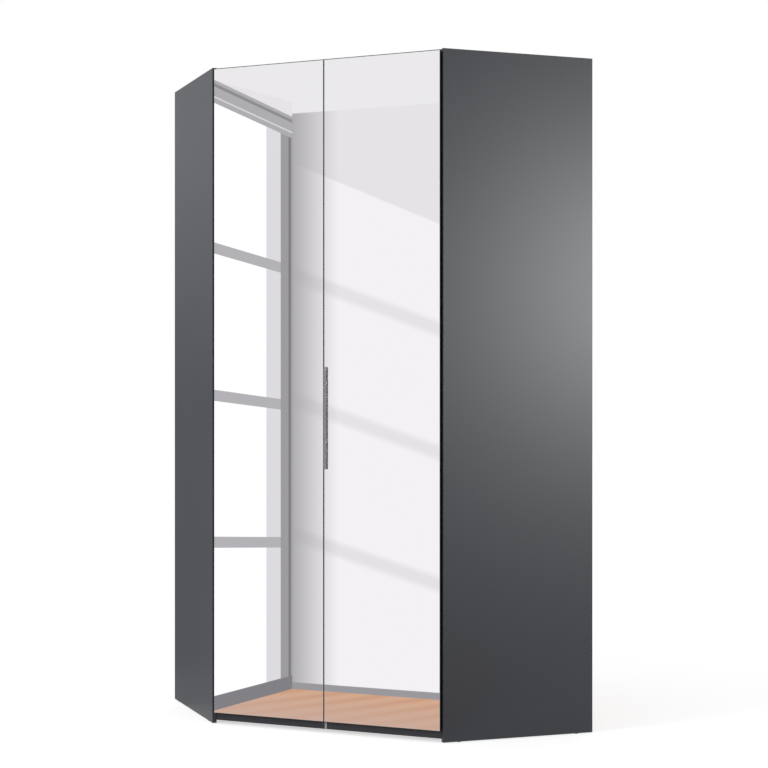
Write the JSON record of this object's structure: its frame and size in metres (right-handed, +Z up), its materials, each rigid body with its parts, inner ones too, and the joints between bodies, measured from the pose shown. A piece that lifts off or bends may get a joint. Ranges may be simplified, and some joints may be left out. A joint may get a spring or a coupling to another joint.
{
  "type": "corner wardrobe",
  "caption": "Tall corner wardrobe with a pair of mirrored doors set across the corner, a hat shelf and a clothes rail inside.",
  "frame": {"origin": "bottom centre of the object's box, on the floor", "axes": "+Z up; the doors face -Y; the corner of the room is at +Y; +X to the right as seen from the front"},
  "size_m": [1.6984, 1.263, 2.36],
  "materials": {
    "graphite_board": "melamine-faced board, graphite grey, satin",
    "mirror_glass": "silvered float glass with arrissed edges",
    "hardboard": "thin hardboard, brown, smooth side in",
    "dark_metal": "dark anodised profile, satin",
    "nickel_steel": "nickel-plated steel",
    "grey_trim": "light grey satin joint profile",
    "black_plastic": "moulded black plastic"
  },
  "bodies": {
    "carcass": {"side_panel_left": "graphite_board", "back_left": "hardboard", "plinth_left": "graphite_board", "rail_cap_left": "black_plastic", "glide_left_front": "black_plastic", "shelf_pin_left_front": "nickel_steel", "glide_left_back": "black_plastic", "shelf_pin_left_back": "nickel_steel", "side_panel_right": "graphite_board", "back_right": "hardboard", "plinth_right": "graphite_board", "rail_cap_right": "black_plastic", "glide_right_front": "black_plastic", "shelf_pin_right_front": "nickel_steel", "glide_right_back": "black_plastic", "shelf_pin_right_back": "nickel_steel", "glide_corner": "black_plastic", "corner_post": "graphite_board", "top_panel": "graphite_board", "bottom_panel": "graphite_board", "hat_shelf": "graphite_board", "plinth_joint_strip": "grey_trim", "floor_rail_left": "graphite_board", "floor_rail_right": "graphite_board", "clothes_rail": "nickel_steel", "rail_hanger_left": "nickel_steel", "rail_hanger_middle": "nickel_steel", "rail_hanger_right": "nickel_steel", "hinge_arm_left_1": "nickel_steel", "hinge_arm_left_2": "nickel_steel", "hinge_arm_left_3": "nickel_steel", "hinge_arm_left_4": "nickel_steel", "hinge_arm_right_1": "nickel_steel", "hinge_arm_right_2": "nickel_steel", "hinge_arm_right_3": "nickel_steel", "hinge_arm_right_4": "nickel_steel"},
    "links_left": {"hinge_link_left_1": "nickel_steel", "hinge_link_left_2": "nickel_steel", "hinge_link_left_3": "nickel_steel", "hinge_link_left_4": "nickel_steel"},
    "door_left": {"door_board_left": "graphite_board", "door_mirror_left": "mirror_glass", "hinge_cup_left_1": "nickel_steel", "hinge_cup_left_2": "nickel_steel", "hinge_cup_left_3": "nickel_steel", "hinge_cup_left_4": "nickel_steel"},
    "links_right": {"hinge_link_right_1": "nickel_steel", "hinge_link_right_2": "nickel_steel", "hinge_link_right_3": "nickel_steel", "hinge_link_right_4": "nickel_steel"},
    "door_right": {"door_board_right": "graphite_board", "door_mirror_right": "mirror_glass", "hinge_cup_right_1": "nickel_steel", "hinge_cup_right_2": "nickel_steel", "hinge_cup_right_3": "nickel_steel", "hinge_cup_right_4": "nickel_steel", "handle": "dark_metal", "handle_screw_1": "nickel_steel", "handle_screw_2": "nickel_steel"}
  },
  "joints": [
    {"name": "door_left_swing", "type": "hinge", "parent": "links_left", "child": "door_left", "pos_m": [-0.42293, -0.60622, 0.745], "axis": [0, 0, -1], "range_deg": [0, 126]},
    {"name": "links_left_swing", "type": "hinge", "parent": "carcass", "child": "links_left", "pos_m": [-0.38943, -0.59402, 0.745], "axis": [0, 0, -1], "range_deg": [-31.01, 0]},
    {"name": "door_right_swing", "type": "hinge", "parent": "links_right", "child": "door_right", "pos_m": [0.42293, -0.60622, 0.745], "axis": [0, 0, 1], "range_deg": [0, 126]},
    {"name": "links_right_swing", "type": "hinge", "parent": "carcass", "child": "links_right", "pos_m": [0.38943, -0.59402, 0.745], "axis": [0, 0, 1], "range_deg": [-31.01, 0]}
  ],
  "couplings": [
    {"joint": "links_left_swing", "follows": "door_left_swing", "ratio": -0.24603},
    {"joint": "links_right_swing", "follows": "door_right_swing", "ratio": -0.24603}
  ]
}
